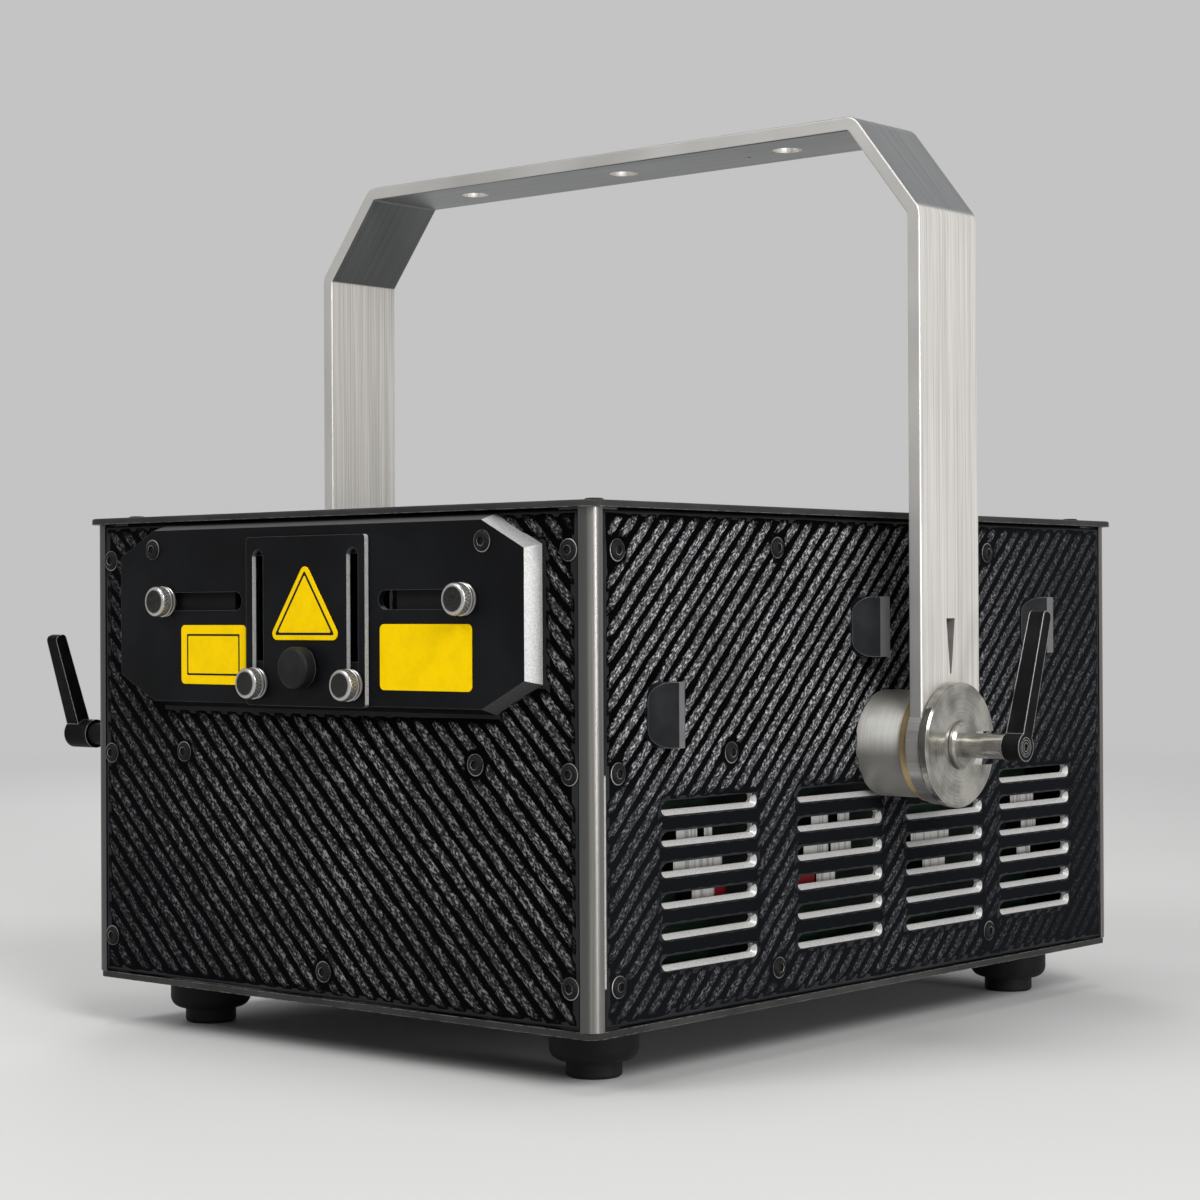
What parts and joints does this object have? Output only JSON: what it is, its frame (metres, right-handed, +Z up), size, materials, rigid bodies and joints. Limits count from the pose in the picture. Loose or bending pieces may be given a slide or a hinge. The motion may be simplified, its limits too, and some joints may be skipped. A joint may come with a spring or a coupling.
{
  "type": "laser show projector",
  "caption": "Stage laser projector: vented black box with milled slots, masked beam aperture with sliding shutter, and a bent flat-bar yoke on lever-clamped pivots.",
  "frame": {"origin": "under the middle of the bounding box, on the floor the rubber feet stand on", "axes": "+Z up, the beam leaves towards -Y, +X is the vented side seen in the picture"},
  "size_m": [0.4236, 0.4107, 0.386],
  "materials": {
    "panel_black": "textured carbon-look film",
    "plate_black": "satin",
    "post_steel": "brushed along the post",
    "yoke_steel": "brushed along the bar",
    "pivot_steel": "turned",
    "friction_bronze": "turned",
    "screw_black": "black oxide",
    "thumb_steel": "bright, knurled",
    "soft_black": "matt",
    "lever_black": "satin",
    "window_glass": "coated",
    "bench_aluminium": "milled",
    "module_black": "anodised",
    "optic_mirror": "polished",
    "motor_steel": "turned",
    "board_green": "solder mask",
    "supply_metal": "folded sheet",
    "fan_black": "moulded",
    "inlet_black": "moulded",
    "lock_chrome": "bright",
    "socket_black": "satin"
  },
  "bodies": {
    "housing": {"front_panel": "panel_black", "right_panel": "panel_black", "left_panel": "panel_black", "rear_panel": "panel_black", "base_plate": "plate_black", "top_lid": "plate_black", "aperture_plate": "plate_black", "corner_post_front_right": "post_steel", "corner_post_rear_right": "post_steel", "corner_post_front_left": "post_steel", "corner_post_rear_left": "post_steel", "pivot_boss_right": "pivot_steel", "pivot_boss_left": "pivot_steel", "clamp_disc_right": "pivot_steel", "clamp_disc_left": "pivot_steel", "friction_ring_right": "friction_bronze", "friction_ring_left": "friction_bronze", "panel_screws": "screw_black", "rubber_feet": "soft_black", "side_bumpers_right": "soft_black", "side_bumpers_left": "soft_black", "aperture_window": "window_glass", "optical_bench": "bench_aluminium", "heat_sink": "bench_aluminium", "scanner_block": "bench_aluminium", "beam_stop_bracket": "bench_aluminium", "laser_module_red": "module_black", "laser_module_green": "module_black", "laser_module_blue": "module_black", "combining_mirrors": "optic_mirror", "scanner_motors": "motor_steel", "driver_board": "board_green", "power_supply": "supply_metal", "fan_frame_right": "fan_black", "fan_frame_left": "fan_black", "power_inlet": "inlet_black", "key_switch": "lock_chrome", "signal_sockets": "socket_black"},
    "yoke": {"yoke": "yoke_steel"},
    "clamp_right": {"clamp_shaft_right": "pivot_steel", "clamp_lever_right": "lever_black"},
    "clamp_left": {"clamp_shaft_left": "pivot_steel", "clamp_lever_left": "lever_black"},
    "beam_stop": {"beam_stop_flag": "plate_black", "beam_stop_lever": "lever_black"},
    "shutter": {"shutter_plate": "plate_black", "shutter_knob": "lever_black"},
    "mask_right": {"mask_right": "plate_black"},
    "mask_left": {"mask_left": "plate_black"},
    "thumb_upper_right": {"thumb_screw_upper_right": "thumb_steel"},
    "thumb_upper_left": {"thumb_screw_upper_left": "thumb_steel"},
    "thumb_lower_right": {"thumb_screw_lower_right": "thumb_steel"},
    "thumb_lower_left": {"thumb_screw_lower_left": "thumb_steel"},
    "fan_right": {"fan_rotor_right": "fan_black"},
    "fan_left": {"fan_rotor_left": "fan_black"},
    "galvo_x": {"galvo_mirror_x": "optic_mirror"},
    "galvo_y": {"galvo_mirror_y": "optic_mirror"},
    "rocker": {"power_switch": "inlet_black"},
    "key": {"switch_key": "lock_chrome"}
  },
  "joints": [
    {"name": "yoke_tilt", "type": "hinge", "parent": "housing", "child": "yoke", "pos_m": [0, 0.003, 0.1235], "axis": [1, 0, 0], "range_deg": [-100, 75]},
    {"name": "clamp_right_turn", "type": "hinge", "parent": "housing", "child": "clamp_right", "pos_m": [0.14325, 0.003, 0.1235], "axis": [1, 0, 0], "range_deg": [-90, 90]},
    {"name": "clamp_left_turn", "type": "hinge", "parent": "housing", "child": "clamp_left", "pos_m": [-0.14325, 0.003, 0.1235], "axis": [1, 0, 0], "range_deg": [-90, 90]},
    {"name": "beam_stop_turn", "type": "hinge", "parent": "housing", "child": "beam_stop", "pos_m": [-0.14325, -0.15, 0.1243], "axis": [1, 0, 0], "range_deg": [-55, 0]},
    {"name": "shutter_slide", "type": "slide", "parent": "housing", "child": "shutter", "axis": [0, 0, -1], "range_m": [0, 0.051]},
    {"name": "mask_right_slide", "type": "slide", "parent": "housing", "child": "mask_right", "axis": [-1, 0, 0], "range_m": [0, 0.042]},
    {"name": "mask_left_slide", "type": "slide", "parent": "housing", "child": "mask_left", "axis": [1, 0, 0], "range_m": [0, 0.042]},
    {"name": "thumb_upper_right_turn", "type": "hinge", "parent": "mask_right", "child": "thumb_upper_right", "pos_m": [0.0865, -0.1956, 0.1845], "axis": [0, 1, 0], "range_deg": [-180, 180]},
    {"name": "thumb_lower_right_turn", "type": "hinge", "parent": "housing", "child": "thumb_lower_right", "pos_m": [0.0275, -0.1956, 0.151], "axis": [0, 1, 0], "range_deg": [-180, 180]},
    {"name": "thumb_upper_left_turn", "type": "hinge", "parent": "mask_left", "child": "thumb_upper_left", "pos_m": [-0.0865, -0.1956, 0.1845], "axis": [0, 1, 0], "range_deg": [-180, 180]},
    {"name": "thumb_lower_left_turn", "type": "hinge", "parent": "housing", "child": "thumb_lower_left", "pos_m": [-0.0275, -0.1956, 0.151], "axis": [0, 1, 0], "range_deg": [-180, 180]},
    {"name": "fan_right_spin", "type": "hinge", "parent": "housing", "child": "fan_right", "pos_m": [0.046, 0.185, 0.162], "axis": [0, 1, 0], "continuous": true},
    {"name": "fan_left_spin", "type": "hinge", "parent": "housing", "child": "fan_left", "pos_m": [-0.046, 0.185, 0.162], "axis": [0, 1, 0], "continuous": true},
    {"name": "galvo_x_scan", "type": "hinge", "parent": "housing", "child": "galvo_x", "pos_m": [0, -0.05, 0.161], "axis": [0, 1, 0], "range_deg": [-12, 12]},
    {"name": "galvo_y_scan", "type": "hinge", "parent": "housing", "child": "galvo_y", "pos_m": [0, -0.05, 0.177], "axis": [1, 0, 0], "range_deg": [-12, 12]},
    {"name": "rocker_tip", "type": "hinge", "parent": "housing", "child": "rocker", "pos_m": [0.104, 0.1905, 0.083], "axis": [1, 0, 0], "range_deg": [-16, 0]},
    {"name": "key_turn", "type": "hinge", "parent": "housing", "child": "key", "pos_m": [0.05799, 0.188, 0.068], "axis": [0, 1, 0], "range_deg": [0, 90]}
  ]
}
